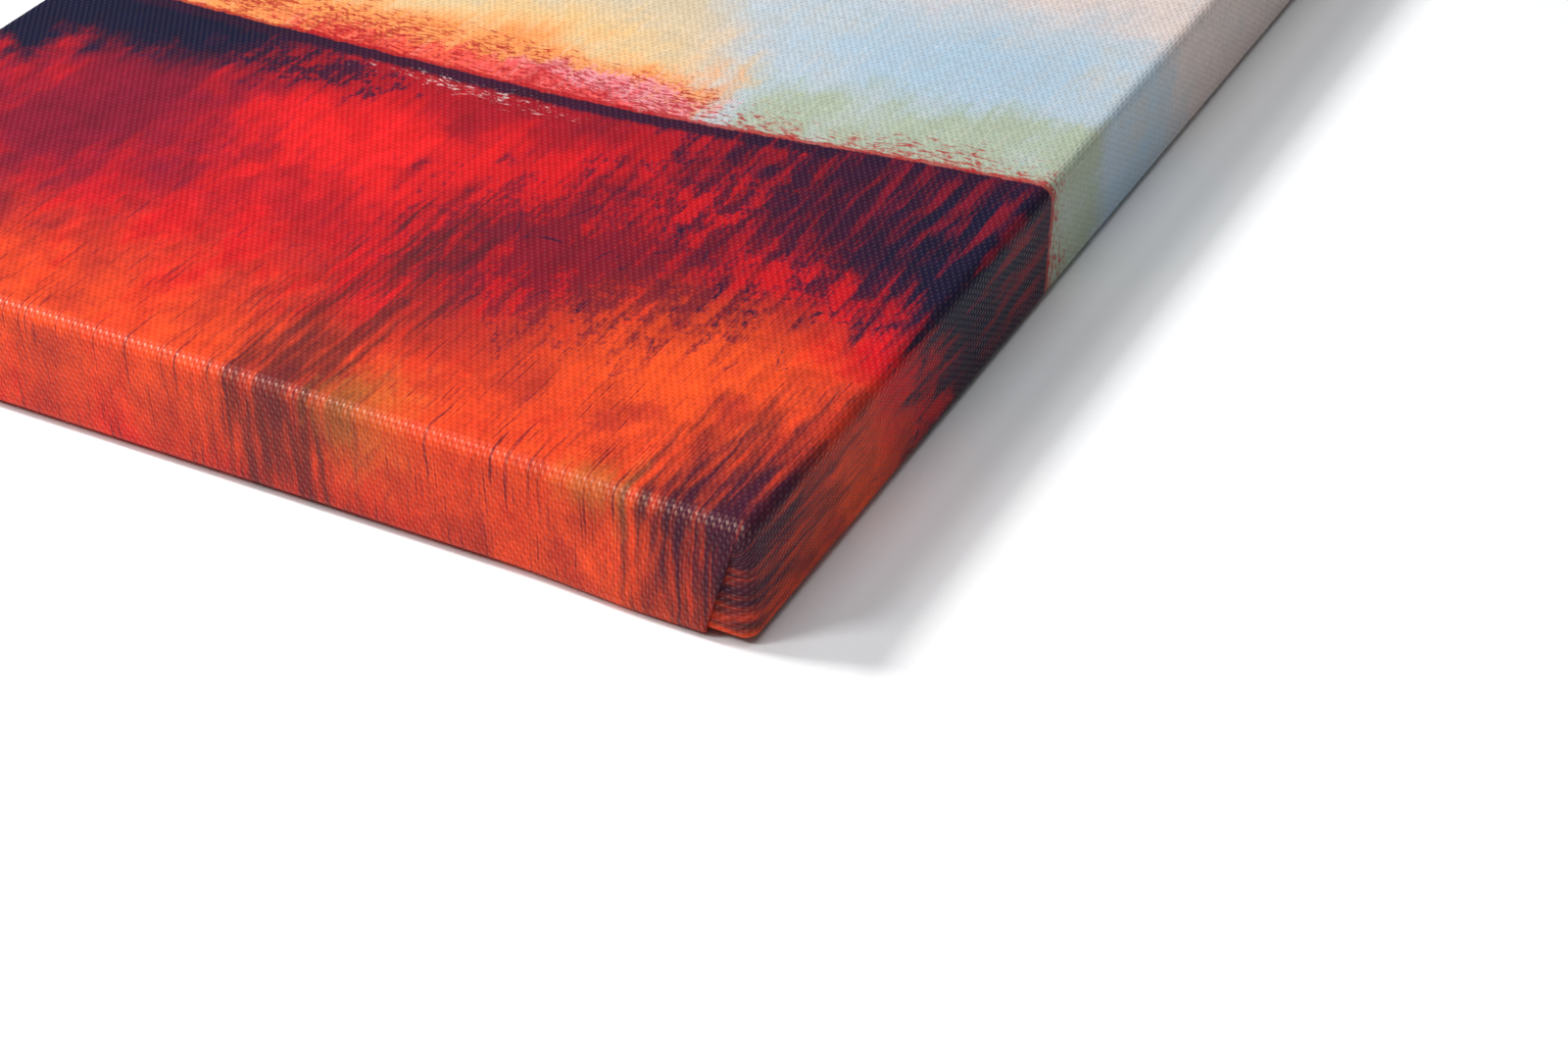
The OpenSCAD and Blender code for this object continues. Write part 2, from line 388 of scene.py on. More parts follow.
    def field(self):
        """Red over orange, dark at the horizon and on the right, with stains, cracks and chips."""
        g, near, between = self.g, self.near, self.between
        brush, dabs, drawn, hairs = self.brush, self.dabs, self.drawn, self.hairs
        dark_right = near((192, 92), (86, 56), 1.15)
        dark_left = g.mul(between(self.below, 5, 30), between(self.u, 32, 78))
        colour = self.paint(self.RED, (
            (self.ORANGE, between(self.v, -12, 52), brush, 0.9, 0.5, 3.0),
            (self.ORANGE, near((172, 32), (54, 40)), brush, 1.0, 0.4, 3.0),
            (self.BRIGHT, near((88, 66), (62, 44)), brush, 0.8, 0.5, 3.0),
            (self.DEEP, 0.42, self.patches, 0.6, 0.25, 2.6),
            (self.DEEP, 0.4, drawn, 0.28, 0.4, 2.8),
            (self.CRIMSON, near((36, 60), (52, 54), 1.1), brush, 0.9, 0.5, 3.4),
            (self.DEEP, between(self.below, 0, 34), brush, 0.7, 0.4, 3.6),
            (self.WINE, dark_right, brush, 0.9, 0.3, 4.4),
            (self.NIGHT, g.mul(dark_right, 0.88), dabs, 0.9, 0.3, 5.0),
            (self.NAVY, near((206, 82), (36, 46), 1.1), drawn, 0.9, 0.4, 3.4),
            (self.WINE, near((140, 54), (60, 42), 0.9), dabs, 0.8, 0.34, 5.6),
            (self.UMBER, near((116, 8), (20, 66), 0.9), drawn, 0.74, 0.6, 4.4),
            (self.UMBER, near((198, 0), (30, 46), 1.15), drawn, 0.74, 0.6, 4.4),
            (self.NIGHT, near((202, -4), (26, 38), 1.15), drawn, 0.82, 0.5, 4.2),
            (self.OLIVE, near((131, -4), (17, 26)), dabs, 0.5, 0.4, 3.0),
            (self.OLIVE, near((174, -6), (14, 20)), dabs, 0.5, 0.4, 3.0),
            (self.NIGHT, dark_left, brush, 0.85, 0.45, 3.6),
            (self.NAVY, g.mul(dark_left, 1.1), dabs, 1.0, 0.35, 3.0),
            (self.NAVY, near((0, 82), (34, 38)), brush, 1.0, 0.3, 3.0),
            (self.NIGHT, near((62, 88), (46, 14), 0.62), dabs, 0.9, 0.16, 4.0),
            (self.NIGHT, between(self.below, 1.0, 6.0), dabs, 0.95, 0.25, 2.4),
            (self.WINE, g.mul(between(self.v, 0, 110), 0.26), hairs, 0.7, 0.12, 2.2),
            (self.DEEP, g.mul(dark_right, 0.36), drawn, 0.6, 0.2, -3.0)))
        cracked = g.add(0.25, near((158, 60), (64, 48)))
        cracked = g.mul(self.cracks, g.smooth(self.mottle, 0.5, 0.6), cracked, 0.85)
        colour = g.mix(cracked, colour, self.NIGHT)
        chips = near((94, 93.5), (50, 6), 0.37)
        return self.paint(colour, ((self.PALE, chips, self.flecks, 0.6, 0.1, 2.2),))


def flat_place(g):
    """The place on the flat sheet, in millimetres from the picture's lower left corner."""
    flat = g.node("ShaderNodeUVMap", uv_map="Flat").outputs[0]
    split = g.node("ShaderNodeSeparateXYZ", {0: flat})
    return g.mul(split.outputs[0], 1 / MM), g.mul(split.outputs[1], 1 / MM)


def printed_cloth():
    """The coated, printed front of the cloth. The print runs on over the sides, mirrored."""
    g = Graph("printed_canvas")
    s, t = flat_place(g)
    picture = Picture(g, g.math("PINGPONG", s, PICTURE_W), g.math("PINGPONG", t, PICTURE_H))
    threads = weave(g, s, t)
    slub = g.noise((s, t), (1.2, 22), seed=2.2, detail=2)
    slub_weft = g.noise((s, t), (22, 1.6), seed=6.2, detail=2)
    slubs = g.add(slub, slub_weft)
    height = g.add(g.add(threads, g.mul(slubs, 0.12)), g.mul(picture.mottle, 0.25))
    past_side, past_end = [g.sub(g.math("ABSOLUTE", g.sub(place, half)), half)
                           for place, half in ((s, PICTURE_W / 2), (t, PICTURE_H / 2))]

    # The print has painted shade between the threads and a painted highlight on their tops. Where
    # the cloth bends over the short sides' edges the tops are paler still, partly rubbed and partly
    # a painted highlight
    depth = g.smooth(threads, 0.2, 0.6)
    # Painted shade: the print is darkened between the threads
    ink_and_painted_light = g.mix(g.mul(g.sub(1.0, depth), 0.2), picture.colour, srgb(20, 4, 16))
    # Painted highlight: a pale tint laid on the thread tops
    ink_and_painted_light = g.mix(g.smooth(threads, 0.5, 0.84, 0.0, 0.03), ink_and_painted_light, srgb(255, 226, 214))
    # Partly rubbed threads and partly a painted highlight: paler thread tops along the short sides'
    # bends
    bend = g.smooth(g.math("ABSOLUTE", past_end), 0.3, 2.0, 0.15, 0.0)
    worn = g.mul(bend, g.smooth(past_side, 0.0, 1.5, 1.0, 0.0))
    worn = g.mul(worn, g.smooth(threads, 0.46, 0.76), g.smooth(slubs, 0.75, 1.2, 0.2, 1.0))
    ink_and_painted_light = g.mix(worn, ink_and_painted_light, srgb(252, 204, 170))

    # The print stops on the flaps, and the bare primer shows from there on
    off_print = g.add(g.math("MAXIMUM", past_side, past_end), g.mul(picture.flecks, 0.5))
    unprinted = g.smooth(off_print, PRINT_MARGIN, PRINT_MARGIN + 0.3)
    # The bare primer, with painted shade: greyer between the threads and paler on their tops
    primer = g.mix(depth, srgb(206, 202, 192), srgb(236, 233, 226))
    rough = g.smooth(threads, 0.4, 0.84, 0.75, 0.22)
    return g.finish(g.mix(unprinted, ink_and_painted_light, primer), g.bump(height, 0.1),
                    Roughness=rough, Specular_IOR_Level=0.16)


def raw_cloth():
    """The unprimed back of the cloth, seen between the bars and along its cut edges."""
    g = Graph("raw_canvas")
    s, t = flat_place(g)
    threads = weave(g, s, t)
    yarn = g.noise((s, t), (0.9, 30), seed=4.4, detail=3)
    yarn_weft = g.noise((s, t), (30, 1.3), seed=9.4, detail=3)
    tone = g.mul(g.add(yarn, yarn_weft), 0.5)
    colour = g.mix(g.smooth(tone, 0.35, 0.65), srgb(186, 168, 134), srgb(222, 208, 178))
    # Painted shade: the raw cloth is darkened between the threads
    colour = g.mix(g.smooth(threads, 0.2, 0.55, 0.55, 0.0), colour, srgb(120, 102, 74))
    seeds = g.smooth(g.noise((s, t), (0.8, 1.4), seed=12.0, detail=1), 0.74, 0.78)
    colour = g.mix(g.mul(seeds, 0.6), colour, srgb(92, 66, 40))
    height = g.add(threads, g.mul(tone, 0.4))
    return g.finish(colour, g.bump(height, 0.2), Roughness=0.9)


class Sheet:
    """Collects patches of the cloth. A point has a place and a flat place, both in millimetres."""

    def __init__(self):
        self.mesh = bmesh.new()
        self.flat = self.mesh.loops.layers.uv.new("Flat")
        self.body = self.mesh.verts.layers.deform.verify()

    def patch(self, rows):
        """Adds a grid of points, each (place, flat place), with the share of the cloth's full
        thickness as a third value where it can be less."""
        grid = [[self.mesh.verts.new(Vector(point[0]) * MM) for point in row] for row in rows]
        for verts, row in zip(grid, rows):
            for vert, point in zip(verts, row):
                vert[self.body][0] = point[2] if len(point) > 2 else 1.0
        for i in range(len(rows) - 1):
            for j in range(len(rows[0]) - 1):
                cells = [(i, j), (i + 1, j), (i + 1, j + 1), (i, j + 1)]
                face = self.mesh.faces.new([grid[a][b] for a, b in cells])
                face.smooth = True
                for loop, (a, b) in zip(face.loops, cells):
                    s, t = rows[a][b][1]
                    loop[self.flat].uv = ((s + PICTURE_W / 2) * MM, (t + PICTURE_H / 2) * MM)

    def finish(self, name):
        """Joins the patches into one object, with its normals out of the front."""
        bmesh.ops.remove_doubles(self.mesh, verts=self.mesh.verts, dist=SAME * MM)
        bmesh.ops.dissolve_degenerate(self.mesh, edges=self.mesh.edges, dist=SAME * MM)
        bmesh.ops.recalc_face_normals(self.mesh, faces=self.mesh.faces)
        centres = {face: face.calc_center_median() for face in self.mesh.faces}
        top = max(centres, key=lambda face: centres[face].z - centres[face].xy.length)
        if top.normal.z < 0:
            bmesh.ops.reverse_faces(self.mesh, faces=self.mesh.faces)
        data = bpy.data.meshes.new(name)
        self.mesh.to_mesh(data)
        self.mesh.free()
        made = bpy.data.objects.new(name, data)
        made.vertex_groups.new(name="body")
        bpy.context.scene.collection.objects.link(made)
        return made


def over_edge(l, lift=0.0):
    """A point l along the cloth's path over a side, lifted off it: how far out of the flat face it
    lies, and its height."""
    if l < ARC:
        a = l / EDGE_R
        out, z = EDGE_R * math.sin(a), FACE_Z - EDGE_R + EDGE_R * math.cos(a)
        normal = (math.sin(a), math.cos(a))
    elif l < TURN:
        out, z = EDGE_R, FACE_Z - EDGE_R - (l - ARC)
        normal = (1.0, 0.0)
    elif l < UNDER:
        a = (l - TURN) / BACK_R
        out, z = EDGE_R - BACK_R + BACK_R * math.cos(a), FLAP_Z + BACK_R - BACK_R * math.sin(a)
        normal = (math.cos(a), -math.sin(a))
    else:
        out, z = EDGE_R - BACK_R - (l - UNDER), FLAP_Z
        normal = (0.0, -1.0)
    return out + lift * normal[0], z + lift * normal[1]


def flap_steps():
    """Steps along the path on a flap, from under the corner's middle on."""
    return list(np.linspace(CORNER_END, SHEET_END, 13))


def path_steps():
    """Steps along the path over a side, close together round its bends."""
    bend = list(np.linspace(0, ARC, 9))
    wall = list(np.linspace(ARC, TURN, 13))[1:]
    back = list(np.linspace(TURN, UNDER, 6))[1:]
    return bend + wall + back + flap_steps()


def side_steps(half):
    """Steps along a side, corner to corner: 2 mm apart near the corners and 4 mm between."""
    close = 40
    near = np.linspace(0, close, 21)
    middle = np.linspace(close, 2 * half - close, int((2 * half - 2 * close) / 4) + 1)[1:-1]
    return list(np.concatenate([near, middle, 2 * half - near[::-1]]) - half)


def solids_of(node):
    """The box of each separate solid in a CAD node, in millimetres."""
    mesh = bmesh.new()
    mesh.from_mesh(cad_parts[node].data)
    bmesh.ops.remove_doubles(mesh, verts=mesh.verts, dist=1e-6)
    unseen = set(mesh.verts)
    boxes = []
    while unseen:
        todo = [unseen.pop()]
        points = []
        while todo:
            vert = todo.pop()
            points.append(vert.co.copy() / MM)
            linked = {edge.other_vert(vert) for edge in vert.link_edges} & unseen
            unseen -= linked
            todo += linked
        lo = Vector([min(p[k] for p in points) for k in range(3)])
        hi = Vector([max(p[k] for p in points) for k in range(3)])
        boxes.append((lo, hi))
    mesh.free()
    return sorted(boxes, key=lambda box: tuple(box[0]))


SIDES = ("bottom", "right", "top", "left")
STAPLES = {side: solids_of("staples_" + side) for side in SIDES}


def pucker(side, along, l):
    """How far a flap stands off the wood between its staples, away from the bend."""
    axis = SIDES.index(side) % 2
    gap = min(abs(along - (lo[axis] + hi[axis]) / 2) for lo, hi in STAPLES[side])
    return PUCKER * smooth(gap, 4, 14) * smooth(l, UNDER + 3, UNDER + 14)


def dimple(side, along, l):
    """How far the wire of a corner staple presses the folded cloth down. The corner staples are
    those that stand off the back by the fold's extra layers."""
    pressed = 0.0
    for lo, hi in STAPLES[side]:
        middle = (lo + hi) / 2
        if lo.z < FLAP_Z - 0.8:
            dx = max(abs(along - middle.x) - (hi.x - lo.x) / 2, 0)
            inside = FLAT_H + EDGE_R - BACK_R - abs(middle.y)
            pressed = max(pressed, smooth(math.hypot(dx, l - UNDER - inside), 4, 0.8))
    return DIMPLE * pressed


def ripple(along, half, l, seed):
    """The slight unevenness of cloth pulled over an edge."""
    wave = math.sin(along * 0.21 + seed) + math.sin(along * 0.083 + 2.1 * seed)
    on_wall = smooth(l, 1, 8) * smooth(UNDER - l, 0, 6)
    return RIPPLE * (wave + 2) * on_wall * smooth(half - abs(along), 0, 15)


def cut_edge(along, seed):
    """How far the knife strayed along the cloth's cut edge."""
    return 0.4 * math.sin(along * 0.11 + seed) + 0.25 * math.sin(along * 0.37 + 3 * seed)


def fold_in(l):
    """How far the visible fold edge has moved in from the corner, l down the path."""
    return FOLD_SLOPE * max(l - ARC, 0.0)


def wall_share(l, over=5):
    """0 on the rounded edge, and 1 once the path is that many millimetres down the wall."""
    return smooth(l, ARC, ARC + over)


def fold_lift(l, inward):
    """How far the outer layer stands off the side, inward millimetres from its fold edge."""
    on_back = smooth(l, TURN - 4, UNDER)
    top = FOLD_LIFT + (2 * CLOTH - FOLD_LIFT) * on_back
    return top * wall_share(l, 9) * (1 - smooth(inward, 3 + l * 0.25, 16 + l * 0.9))


def long_side(sheet, sign):
    """The wall and flap on a long side, plain from corner to corner."""
    side = "right" if sign > 0 else "left"
    rows = []
    for y in side_steps(FLAT_H):
        row = []
        for l in path_steps():
            reach = l + (cut_edge(y, 1 + sign) if l == SHEET_END else 0)
            lift = pucker(side, y, l) * smooth(FLAT_H - abs(y), 12, 30)
            lift += ripple(y, FLAT_H, l, 2 + sign)
            out, z = over_edge(reach, lift)
            row.append(((sign * (FLAT_W + out), y, z), (sign * (FLAT_W + reach), y)))
        rows.append(row)
    sheet.patch(rows)


def rolled_edge(l, half, edge_lift):
    """The fold's rolled edge and the cloth turned in behind it, as (x, lift, flat x). half is where
    the roll starts and edge_lift how far the outer layer stands off there."""
    r = min(FOLD_R, 0.49 * edge_lift)
    roll = []
    for a in np.linspace(0, math.pi, 9)[1:]:
        roll.append((half + r * math.sin(a), edge_lift - r * (1 - math.cos(a)), half + r * a))
    for inside in np.linspace(0, FOLD_HIDDEN - 2, 4)[1:]:
        reach = inside * wall_share(l, 6)
        roll.append((half - reach, edge_lift - 2 * r, half + r * math.pi + reach))
    return roll, r


def short_side(sheet, sign):
    """The outer layer on a short side: wall and flap, ending in a rolled fold at each corner."""
    side = "top" if sign > 0 else "bottom"
    rows = []
    for l in path_steps():
        half = FLAT_W - fold_in(l)
        columns = []
        for x in side_steps(FLAT_W):
            x = x * half / FLAT_W
            inward = half - abs(x)
            lift = fold_lift(l, inward) + ripple(x, half, l, 5 + sign)
            lift += pucker(side, x, l) * smooth(inward, 30, 45) - dimple(side, x, l)
            columns.append((x, lift, x))
        roll, r = rolled_edge(l, half, columns[0][1])
        mirrored = [(-x, lift, -flat) for x, lift, flat in reversed(roll)]
        row = []
        for x, lift, flat in mirrored + columns + roll:
            reach = l + (cut_edge(x, 4 + sign) if l == SHEET_END else 0)
            out, z = over_edge(reach, lift)
            body = 1.0 if abs(flat) < half - 4 else clamp(r / FOLD_R, THINNEST)
            row.append(((x, sign * (FLAT_H + out), z), (flat, sign * (FLAT_H + reach)), body))
        rows.append(row)
    sheet.patch(rows)


def blend(l, turned, wrapped):
    """The flat place of a point in the corner: turned about the corner on the face's side of the
    edge, and along the long side's own cloth further down."""
    share = wall_share(l)
    return [p + (q - p) * share for p, q in zip(turned, wrapped)]


def corner(sheet, sx, sy):
    """The cloth round an upright corner, from the long side to the short side's fold."""
    rows = []
    for l in path_steps():
        if l > CORNER_END + TINY:
            break
        row = []
        for b in np.linspace(0, math.pi / 2, 9):
            out, z = over_edge(l)
            bunch = BUNCH * math.sin(2 * b) * smooth(l, 0, ARC * 0.6) * smooth(l, ARC * 2.2, ARC)
            out = max(out, 0.0) + bunch
            place = (sx * (FLAT_W + out * math.cos(b)), sy * (FLAT_H + out * math.sin(b)), z)
            turned = (FLAT_W + l * math.cos(b), FLAT_H + l * math.sin(b))
            wrapped = (FLAT_W + l, FLAT_H + EDGE_R * b)
            flat = blend(l, turned, wrapped)
            row.append((place, (sx * flat[0], sy * flat[1])))
        rows.append(row)
    sheet.patch(rows)


def tuck(sheet, sx, sy):
    """The long side's cloth that runs on under the short side's fold."""
    full = fold_in(CORNER_END) + FOLD_HIDDEN
    steps = [l - CORNER_END for l in flap_steps()[:7]]
    rows = []
    for l in path_steps():
        if l < ARC - TINY or l > CORNER_END + TINY:
            continue
        row = []
        wide = (fold_in(l) + FOLD_HIDDEN * wall_share(l, 6)) / full
        for step in steps:
            inward = step * wide
            out, z = over_edge(l)
            flat = blend(l, (FLAT_W, FLAT_H + l),
                         (FLAT_W + l, FLAT_H + EDGE_R * math.pi / 2 + inward))
            place = (sx * (FLAT_W - inward), sy * (FLAT_H + out), z)
            row.append((place, (sx * flat[0], sy * flat[1])))
        rows.append(row)
    sheet.patch(rows)


def make_canvas():
    """The whole cloth as one sheet, folded as it is on the frame."""
    sheet = Sheet()
    xs, ys = side_steps(FLAT_W), side_steps(FLAT_H)
    sheet.patch([[((x, y, FACE_Z), (x, y)) for x in xs] for y in ys])
    for sign in (-1, 1):
        long_side(sheet, sign)
        short_side(sheet, sign)
        for other in (-1, 1):
            corner(sheet, sign, other)
            tuck(sheet, sign, other)
    canvas = sheet.finish("canvas_sheet")
    canvas.data.materials.append(printed_cloth())
    canvas.data.materials.append(raw_cloth())
    thick = canvas.modifiers.new("cloth", "SOLIDIFY")
    thick.thickness = SHEET_T * MM
    thick.offset = -1
    thick.material_offset = 1
    thick.material_offset_rim = 1
    thick.vertex_group = "body"
    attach(canvas, "frame")
    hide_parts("canvas")


# ---------------------------------------------------------------- wood and metal

# Pine's growth rings, the marks that planer and saw leave along the grain, and how deep they are
RING_WIDTH = 2.7
PLANER_PITCH = 1.9
SAW_PITCH = 0.8
WOOD_RELIEF = 0.12


def solid_place(g):
    """The place inside a piece, in millimetres: its grain is cut through, as in real wood."""
    split = g.node("ShaderNodeSeparateXYZ", {0: g.node("ShaderNodeTexCoord").outputs["Object"]})
    return [g.mul(split.outputs[k], 1 / MM) for k in range(3)]


def pine(name, grain, seed):
    """Planed pine, its grain along X for 0 and along Y for 1: growth rings round a pith outside the
    bar, fibres, resin ducts and the planer's faint waves."""
    g = Graph(name)
    place = solid_place(g)
    along, across, z = place[grain], place[1 - grain], place[2]
    here = (across, z, along)
    drift = g.swing(g.noise(here, (26, 26, 150), seed, detail=2), 26)
    aside = g.sub(g.math("ABSOLUTE", across), PICTURE_W / 2 if grain else PICTURE_H / 2)
    aside = g.add(aside, 8 + 22 * math.sin(seed * 2.4))
    deep = g.add(z, 24 + 16 * math.sin(seed * 5.1))
    out = g.math("SQRT", g.add(g.mul(aside, aside), g.mul(deep, deep)))
    rings = g.math("FRACT", g.mul(g.add(out, drift), 1 / RING_WIDTH))
    late = g.mul(g.smooth(rings, 0.3, 0.86), g.smooth(rings, 0.9, 0.99, 1.0, 0.0))
    fibre = g.noise(here, (0.35, 0.35, 16), seed + 1, detail=5, rough=0.6)
    patch = g.noise(here, (16, 16, 90), seed + 2, detail=2)
    duct = g.smooth(g.noise(here, (0.45, 0.45, 5), seed + 3, detail=1), 0.72, 0.76)
    colour = g.mix(g.mul(late, 0.7), srgb(231, 206, 163), srgb(201, 152, 96))
    colour = g.mix(g.smooth(patch, 0.35, 0.7, 0.0, 0.35), colour, srgb(222, 178, 126))
    colour = g.mix(g.mul(duct, 0.5), colour, srgb(128, 78, 42))
    colour = g.scale(colour, g.smooth(fibre, 0.3, 0.7, 0.86, 1.06))
    planed = g.math("SINE", g.add(g.mul(along, 2 * math.pi / PLANER_PITCH), g.mul(patch, 9)))
    height = g.add(fibre, g.mul(late, 0.35))
    height = g.add(height, g.sub(g.mul(planed, 0.07), g.mul(duct, 0.5)))
    rough = g.smooth(late, 0.0, 1.0, 0.68, 0.52)
    return g.finish(colour, g.bump(height, WOOD_RELIEF), Roughness=rough, Specular_IOR_Level=0.35)


def beech(name, grain, seed):
    """Sawn beech, its grain along X for 0 and along Y for 1, with its short brown flecks and the
    saw's marks across it."""
    g = Graph(name)
    place = solid_place(g)
    along, across, z = place[grain], place[1 - grain], place[2]
    here = (across, z, along)
    band = g.noise(here, (3.5, 3.5, 60), seed, detail=3)
    fibre = g.noise(here, (0.25, 0.25, 7), seed + 1, detail=4, rough=0.6)
    fleck = g.smooth(g.noise(here, (0.3, 0.3, 2.0), seed + 2, detail=2), 0.63, 0.7)
    colour = g.mix(g.smooth(band, 0.35, 0.65), srgb(214, 172, 130), srgb(193, 146, 104))
    colour = g.mix(g.mul(fleck, 0.65), colour, srgb(132, 84, 52))
    colour = g.scale(colour, g.smooth(fibre, 0.3, 0.7, 0.86, 1.07))
    sawn = g.math("SINE", g.add(g.mul(along, 2 * math.pi / SAW_PITCH), g.mul(band, 6)))
    height = g.add(g.sub(fibre, g.mul(fleck, 0.4)), g.mul(sawn, 0.16))
    return g.finish(colour, g.bump(height, WOOD_RELIEF), Roughness=0.62, Specular_IOR_Level=0.35)


def metal(name, bright, dull, grain, wear, rough):
    """Drawn or stamped metal, its fine lines along X for a grain of 0 and along Y for 1, with dull
    patches and a few scratches."""
    g = Graph(name)
    here = solid_place(g)
    lines = g.noise(here, (6, 0.12, 0.5) if grain == 0 else (0.12, 6, 0.5), 1.3, detail=3)
    patch = g.noise(here, (2.2, 2.2, 2.2), 4.1, detail=5, rough=0.62)
    scratch = g.math("ABSOLUTE", g.sub(g.noise(here, (1.4, 5, 3), 8.2, detail=2), NOISE_MIDDLE))
    scratch = g.smooth(scratch, 0.002, 0.01, 1.0, 0.0)
    worn = g.smooth(patch, 0.42, 0.66, 0.0, wear)
    colour = g.scale(g.mix(worn, bright, dull), g.smooth(lines, 0.3, 0.7, 0.9, 1.08))
    roughness = g.add(g.add(g.mul(worn, 0.3), g.mul(lines, 0.12)), rough)
    height = g.sub(g.add(g.mul(lines, 0.5), g.mul(patch, 0.5)), g.mul(scratch, 0.4))
    return g.finish(colour, g.bump(height, 0.03), Roughness=roughness, Metallic=1.0)


def dress(node, material, edge):
    """Gives a CAD node its material, and softens its edges by that many millimetres."""
    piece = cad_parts[node]
    for place in piece.material_slots:
        place.link = "OBJECT"
        place.material = material
    weld = piece.modifiers.new("join", "WELD")
    weld.merge_threshold = SAME * MM
    bevel = piece.modifiers.new("edge", "BEVEL")
    bevel.width = edge * MM
    bevel.segments = 3
    bevel.limit_method = "ANGLE"
    bevel.angle_limit = math.radians(35)
    bevel.use_clamp_overlap = True
    bevel.harden_normals = True


def make_wood():
    """The bars and keys, each with a grain of its own."""
    for k, side in enumerate(SIDES):
        dress("bar_" + side, pine("pine_" + side, k % 2, 1.7 + 3.1 * k), 0.35)
    for k, name in enumerate(sorted(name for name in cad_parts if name.startswith("key_"))):
        lo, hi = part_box(name)
        grain = 0 if hi.x - lo.x > hi.y - lo.y else 1
        dress(name, beech("beech_" + name, grain, 2.3 + 1.9 * k), 0.3)


def make_hanger():
    """The sawtooth hanger and its nails."""
    brass = metal("hanger_brass_worn", srgb(222, 180, 104), srgb(158, 116, 62), 0, 0.5, 0.26)
    dress("hanger_plate", brass, 0.12)
    dress("hanger_nails", brass, 0.25)


# A staple's flattened wire, the middle radius of its bends, and the length of its points
WIRE_THICK = 0.6
WIRE_WIDE = 1.2
WIRE_BEND = 0.75
WIRE_POINT = 0.7


def staple_points(lo, hi):
    """The middle line of a staple's wire, from one point over the crown to the other, as
    (along, height). The crown is the staple's lowest part, on the back of the canvas."""
    half = max(hi.x - lo.x, hi.y - lo.y) / 2 - WIRE_THICK / 2
    crown = lo.z + WIRE_THICK / 2
    points = [(-half, hi.z), (-half, hi.z - WIRE_POINT), (-half, (hi.z + crown) / 2)]
    for a in np.linspace(0, math.pi / 2, 6):
        along, up = WIRE_BEND * (1 - math.cos(a)), WIRE_BEND * (1 - math.sin(a))
        points.append((-half + along, crown + up))
    return points + [(-x, z) for x, z in reversed(points)]


def staple(mesh, lo, hi, turn):
    """One staple of flattened wire with round edges and pointed legs."""
    centre = (lo + hi) / 2
    points = staple_points(lo, hi)
    rings = []
    for k, (x, z) in enumerate(points):
        before, after = points[max(k - 1, 0)], points[min(k + 1, len(points) - 1)]
        tangent = Vector((after[0] - before[0], 0, after[1] - before[1])).normalized()
        normal = Vector((tangent.z, 0, -tangent.x))
        tip = 0.35 if k in (0, len(points) - 1) else 1.0
        ring = []
        for a in np.linspace(0, 2 * math.pi, 16, endpoint=False):
            c, d = math.cos(a), math.sin(a)
            flat = WIRE_THICK / 2 * tip * math.copysign(abs(c) ** 0.6, c)
            wide = WIRE_WIDE / 2 * tip * math.copysign(abs(d) ** 0.6, d)
            place = Vector((x, 0, z)) + normal * flat + Vector((0, wide, 0))
            place = Matrix.Rotation(turn, 3, "Z") @ place
            ring.append(mesh.verts.new((place + Vector((centre.x, centre.y, 0))) * MM))
        rings.append(ring)
    for one, two in zip(rings, rings[1:]):
        for k in range(len(one)):
            mesh.faces.new((one[k - 1], one[k], two[k], two[k - 1])).smooth = True
    mesh.faces.new(rings[0])
    mesh.faces.new(rings[-1][::-1])


def make_staples():
    """The staples of each side as one piece, each staple a little out of line."""
    bright, dull = srgb(206, 208, 212), srgb(140, 142, 146)
    steel = [metal("staple_steel_x", bright, dull, 0, 0.6, 0.2),
             metal("staple_steel_y", bright, dull, 1, 0.6, 0.2)]
    chance = random.Random(4)
    for side, boxes in STAPLES.items():
        mesh = bmesh.new()
        grain = SIDES.index(side) % 2
        for lo, hi in boxes:
            staple(mesh, lo, hi, grain * math.pi / 2 + math.radians(chance.uniform(-2, 2)))
        bmesh.ops.recalc_face_normals(mesh, faces=mesh.faces)
        data = bpy.data.meshes.new("wire_staples_" + side)
        mesh.to_mesh(data)
        mesh.free()
        data.materials.append(steel[grain])
        made = bpy.data.objects.new("wire_staples_" + side, data)
        bpy.context.scene.collection.objects.link(made)
        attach(made, "frame")
        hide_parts("staples_" + side)


# ---------------------------------------------------------------- camera, light and floor

# Where the photograph was taken from, worked out from the canvas's straight edges: the view's
# angles in degrees, the camera's place from the near corner in metres, and the lens in millimetres
AZIMUTH = -28.36
ELEVATION = 36.71
ROLL = -1.06
FROM_CORNER = (0.1695, -0.3036, 0.2609)
LENS = 69.28


def make_camera():
    """The photograph's angle: close over the near right corner, tilted a degree."""
    azimuth, elevation, roll = [math.radians(angle) for angle in (AZIMUTH, ELEVATION, ROLL)]
    near_corner = Vector((cad_box[1].x, -(PICTURE_H / 2 + CLOTH) * MM, cad_box[1].z))
    back = Vector((-math.sin(azimuth) * math.cos(elevation),
                   -math.cos(azimuth) * math.cos(elevation), math.sin(elevation)))
    level = Vector((math.cos(azimuth), -math.sin(azimuth), 0))
    upright = back.cross(level)
    right = math.cos(roll) * level + math.sin(roll) * upright
    up = math.cos(roll) * upright - math.sin(roll) * level
    turned = Matrix((right, up, back)).transposed().to_4x4()
    data = bpy.data.cameras.new("camera")
    data.sensor_width = 36
    data.lens = LENS
    data.clip_start = 0.01
    camera = bpy.data.objects.new("camera", data)
    camera.matrix_world = Matrix.Translation(near_corner + Vector(FROM_CORNER)) @ turned
    bpy.context.scene.collection.objects.link(camera)
    bpy.context.scene.camera = camera


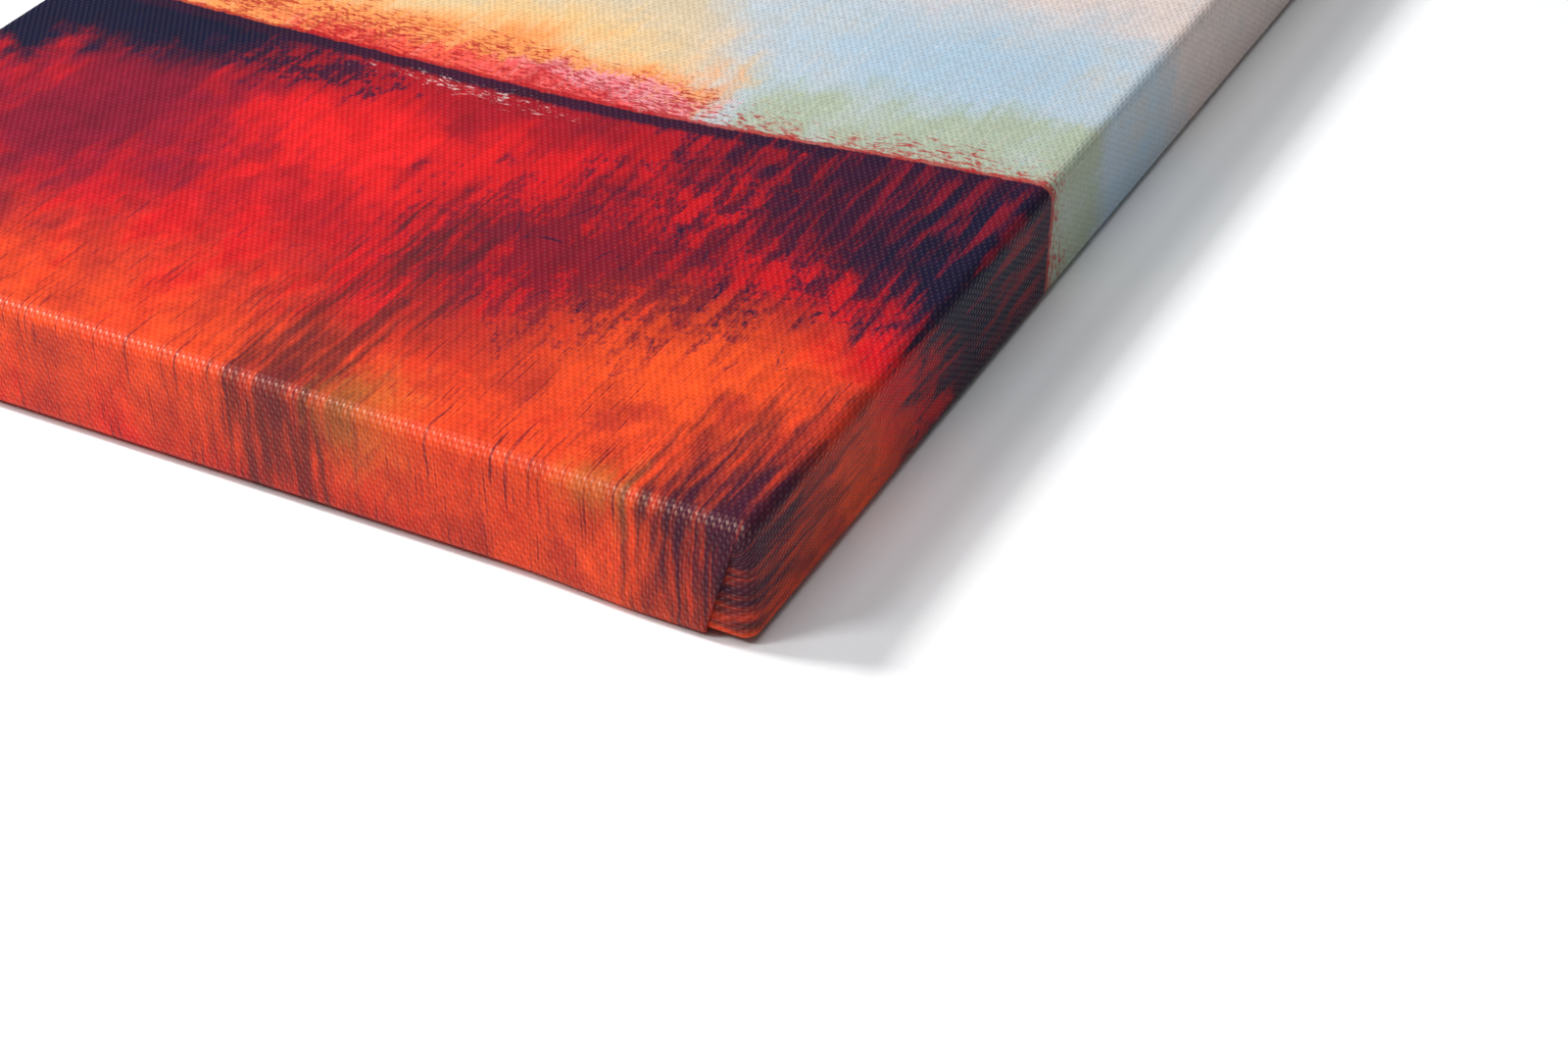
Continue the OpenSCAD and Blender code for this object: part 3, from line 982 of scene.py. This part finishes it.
def soft_box(name, place, size, power, colour=(1, 1, 1)):
    """A soft light that faces the canvas."""
    data = bpy.data.lights.new(name, "AREA")
    data.shape = "RECTANGLE"
    data.size, data.size_y = size
    data.energy = power
    data.color = colour
    light = bpy.data.objects.new(name, data)
    light.location = place
    aim = Vector((0, 0, 0)) - Vector(place)
    light.rotation_euler = aim.to_track_quat("-Z", "Y").to_euler()
    bpy.context.scene.collection.objects.link(light)


def make_studio():
    """Plain soft light. The sheen light is the one that glints along the near edge."""
    soft_box("key_light", (-0.62, -0.86, 1.02), (0.3, 0.3), 8)
    soft_box("sheen_light", (-0.9, -0.3, 1.0), (0.26, 0.26), 18)
    soft_box("top_light", (0.1, -0.4, 1.5), (1.2, 1.2), 11, (0.94, 0.97, 1.0))
    soft_box("side_light", (1.4, 0.3, 0.6), (0.6, 0.6), 0.7)
    world = bpy.data.worlds.new("studio")
    world.use_nodes = True
    background = world.node_tree.nodes["Background"]
    background.inputs["Color"].default_value = (0.94, 0.96, 1.0, 1)
    background.inputs["Strength"].default_value = 0.08
    bpy.context.scene.world = world
    bpy.context.scene.view_settings.view_transform = "Standard"
    bpy.context.scene.view_settings.look = "None"


def make_floor():
    """A plain pale floor, just clear of the canvas's lowest points."""
    g = Graph("floor")
    place = g.node("ShaderNodeTexCoord").outputs["Object"]
    inputs = {"Vector": place, "Scale": 900.0, "Detail": 3.0}
    grain = g.node("ShaderNodeTexNoise", inputs).outputs[0]
    colour = g.mix(grain, srgb(238, 238, 238), srgb(243, 243, 243))
    material = g.finish(colour, g.bump(grain, 0.02), Roughness=0.8)
    mesh = bmesh.new()
    bmesh.ops.create_grid(mesh, x_segments=2, y_segments=2, size=3.0)
    data = bpy.data.meshes.new("floor")
    mesh.to_mesh(data)
    mesh.free()
    data.materials.append(material)
    floor = bpy.data.objects.new("floor", data)
    floor.location.z = -0.0002
    bpy.context.scene.collection.objects.link(floor)


make_camera()
make_studio()
make_floor()
make_canvas()
make_wood()
make_staples()
make_hanger()
